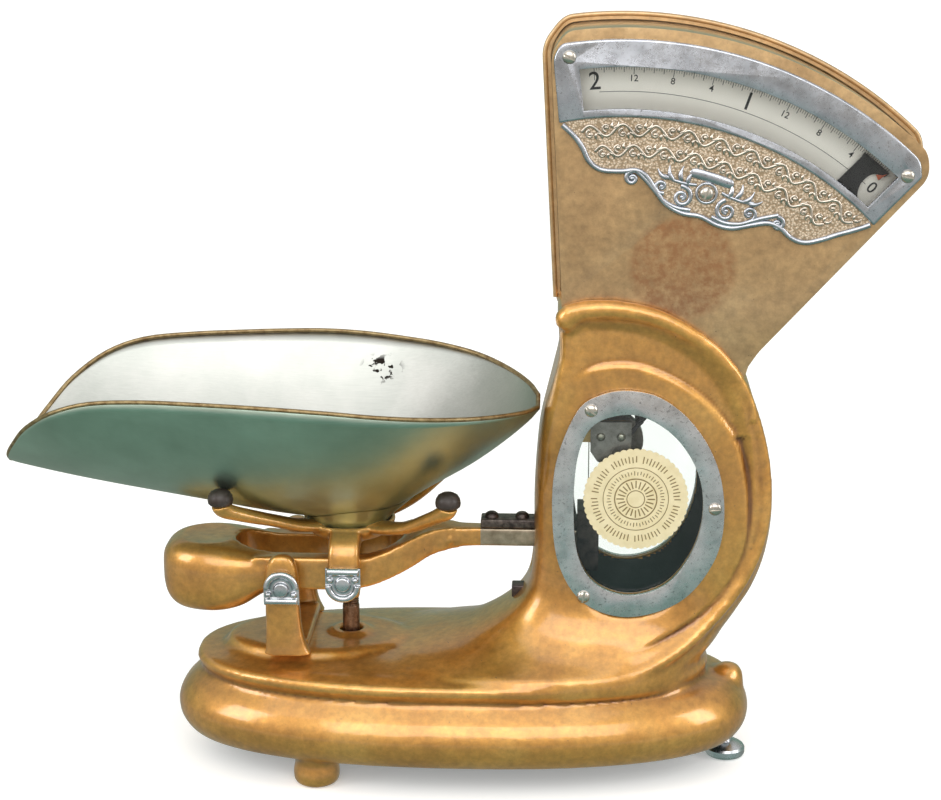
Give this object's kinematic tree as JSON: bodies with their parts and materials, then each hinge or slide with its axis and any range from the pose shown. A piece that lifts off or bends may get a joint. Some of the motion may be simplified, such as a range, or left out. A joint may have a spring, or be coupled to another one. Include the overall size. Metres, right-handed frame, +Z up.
{
  "type": "counter weighing scale",
  "caption": "Counter weighing scale: a lift-off scoop on an armed spider, a counterweighted lever, a pendulum and a fan dial with a pointer, on a cast oval base.",
  "frame": {"origin": "under the middle of the whole scale, on the counter", "axes": "+X along the base from the scoop to the dial, -Y towards the person reading the dial, +Z up"},
  "size_m": [0.5406, 0.2002, 0.455],
  "materials": {
    "gold_paint": "satin gold bronze paint over cast iron, darker in the creases, worn brighter on edges",
    "nickel_plate": "nickel plate, lightly pitted",
    "steel": "bare steel, dull",
    "dark_steel": "blackened steel",
    "brass": "machined brass, dull",
    "scoop_sheet": "brushed sheet, warm grey with a brass rim",
    "dial_card": "printed card",
    "gold_foil": "embossed gold foil paper",
    "rubber": "hard dark pads",
    "clear_glass": "clear flat glass"
  },
  "bodies": {
    "stand": {"base_casting": "gold_paint", "bearing_plate_front": "steel", "bearing_plate_rear": "steel", "damper_screw": "dark_steel", "dashpot_cylinder": "brass", "dial_back_cover": "gold_paint", "dial_bezel": "nickel_plate", "dial_bezel_screw_centre": "nickel_plate", "dial_bezel_screw_left": "nickel_plate", "dial_bezel_screw_right": "nickel_plate", "dial_chart_front": "dial_card", "dial_chart_rear": "dial_card", "dial_glass_front": "clear_glass", "dial_glass_rear": "clear_glass", "dial_housing": "gold_paint", "fulcrum_bearing_front": "steel", "fulcrum_bearing_rear": "steel", "fulcrum_cap_front": "nickel_plate", "fulcrum_cap_rear": "nickel_plate", "fulcrum_stand": "gold_paint", "inspection_seal": "gold_foil", "pendulum_bracket": "brass", "rear_dial_bezel": "nickel_plate", "ring_screw_front_bottom": "nickel_plate", "ring_screw_front_side": "nickel_plate", "ring_screw_front_top": "nickel_plate", "ring_screw_rear_bottom": "nickel_plate", "ring_screw_rear_side": "nickel_plate", "ring_screw_rear_top": "nickel_plate", "window_glass_front": "clear_glass", "window_glass_rear": "clear_glass", "window_ring_front": "nickel_plate", "window_ring_rear": "nickel_plate"},
    "lever": {"main_lever": "gold_paint", "fulcrum_knife_front": "steel", "fulcrum_knife_rear": "steel", "load_knife_front": "steel", "load_knife_rear": "steel", "nose_strap": "dark_steel", "nose_screw_1": "steel", "nose_screw_2": "steel"},
    "spider": {"load_spider": "gold_paint", "load_cap_front": "nickel_plate", "load_cap_rear": "nickel_plate", "arm_pad_front_left": "rubber", "arm_pad_front_right": "rubber", "arm_pad_rear_left": "rubber", "arm_pad_rear_right": "rubber", "check_rod": "steel"},
    "check_link": {"check_link": "steel"},
    "scoop": {"scoop": "scoop_sheet", "scoop_foot": "scoop_sheet"},
    "pendulum": {"pendulum_shaft": "steel", "pendulum_cam": "steel", "pendulum_bob": "brass", "pointer": "dark_steel"},
    "draw_link": {"draw_link": "dark_steel", "draw_ribbon": "steel", "damper_plunger": "steel"},
    "levelling_foot": {"levelling_foot": "nickel_plate"}
  },
  "joints": [
    {"name": "lever_pivot", "type": "hinge", "parent": "stand", "child": "lever", "pos_m": [-0.103, 0, 0.124], "axis": [0, 1, 0], "range_deg": [0, 4]},
    {"name": "spider_pivot", "type": "hinge", "parent": "lever", "child": "spider", "pos_m": [-0.066, 0, 0.124], "axis": [0, 1, 0], "range_deg": [-4, 0]},
    {"name": "check_link_pivot", "type": "hinge", "parent": "stand", "child": "check_link", "pos_m": [-0.103, 0, 0.046], "axis": [0, 1, 0], "range_deg": [0, 4]},
    {"name": "scoop_lift", "type": "slide", "parent": "spider", "child": "scoop", "axis": [0, 0, 1], "range_m": [0, 0.06]},
    {"name": "pendulum_pivot", "type": "hinge", "parent": "stand", "child": "pendulum", "pos_m": [0.096, 0, 0.204], "axis": [0, -1, 0], "range_deg": [0, 44]},
    {"name": "draw_link_slide", "type": "slide", "parent": "stand", "child": "draw_link", "axis": [0, 0, -1], "range_m": [0, 0.0128], "deforming": ["draw_ribbon"]},
    {"name": "levelling_screw", "type": "slide", "parent": "stand", "child": "levelling_foot", "axis": [0, 0, 1], "range_m": [0, 0.005]}
  ],
  "couplings": [
    {"joint": "spider_pivot", "follows": "lever_pivot", "ratio": -1},
    {"joint": "check_link_pivot", "follows": "lever_pivot", "ratio": 1},
    {"joint": "pendulum_pivot", "follows": "lever_pivot", "ratio": 11},
    {"joint": "draw_link_slide", "follows": "lever_pivot", "m_per_rad": 0.1824}
  ]
}
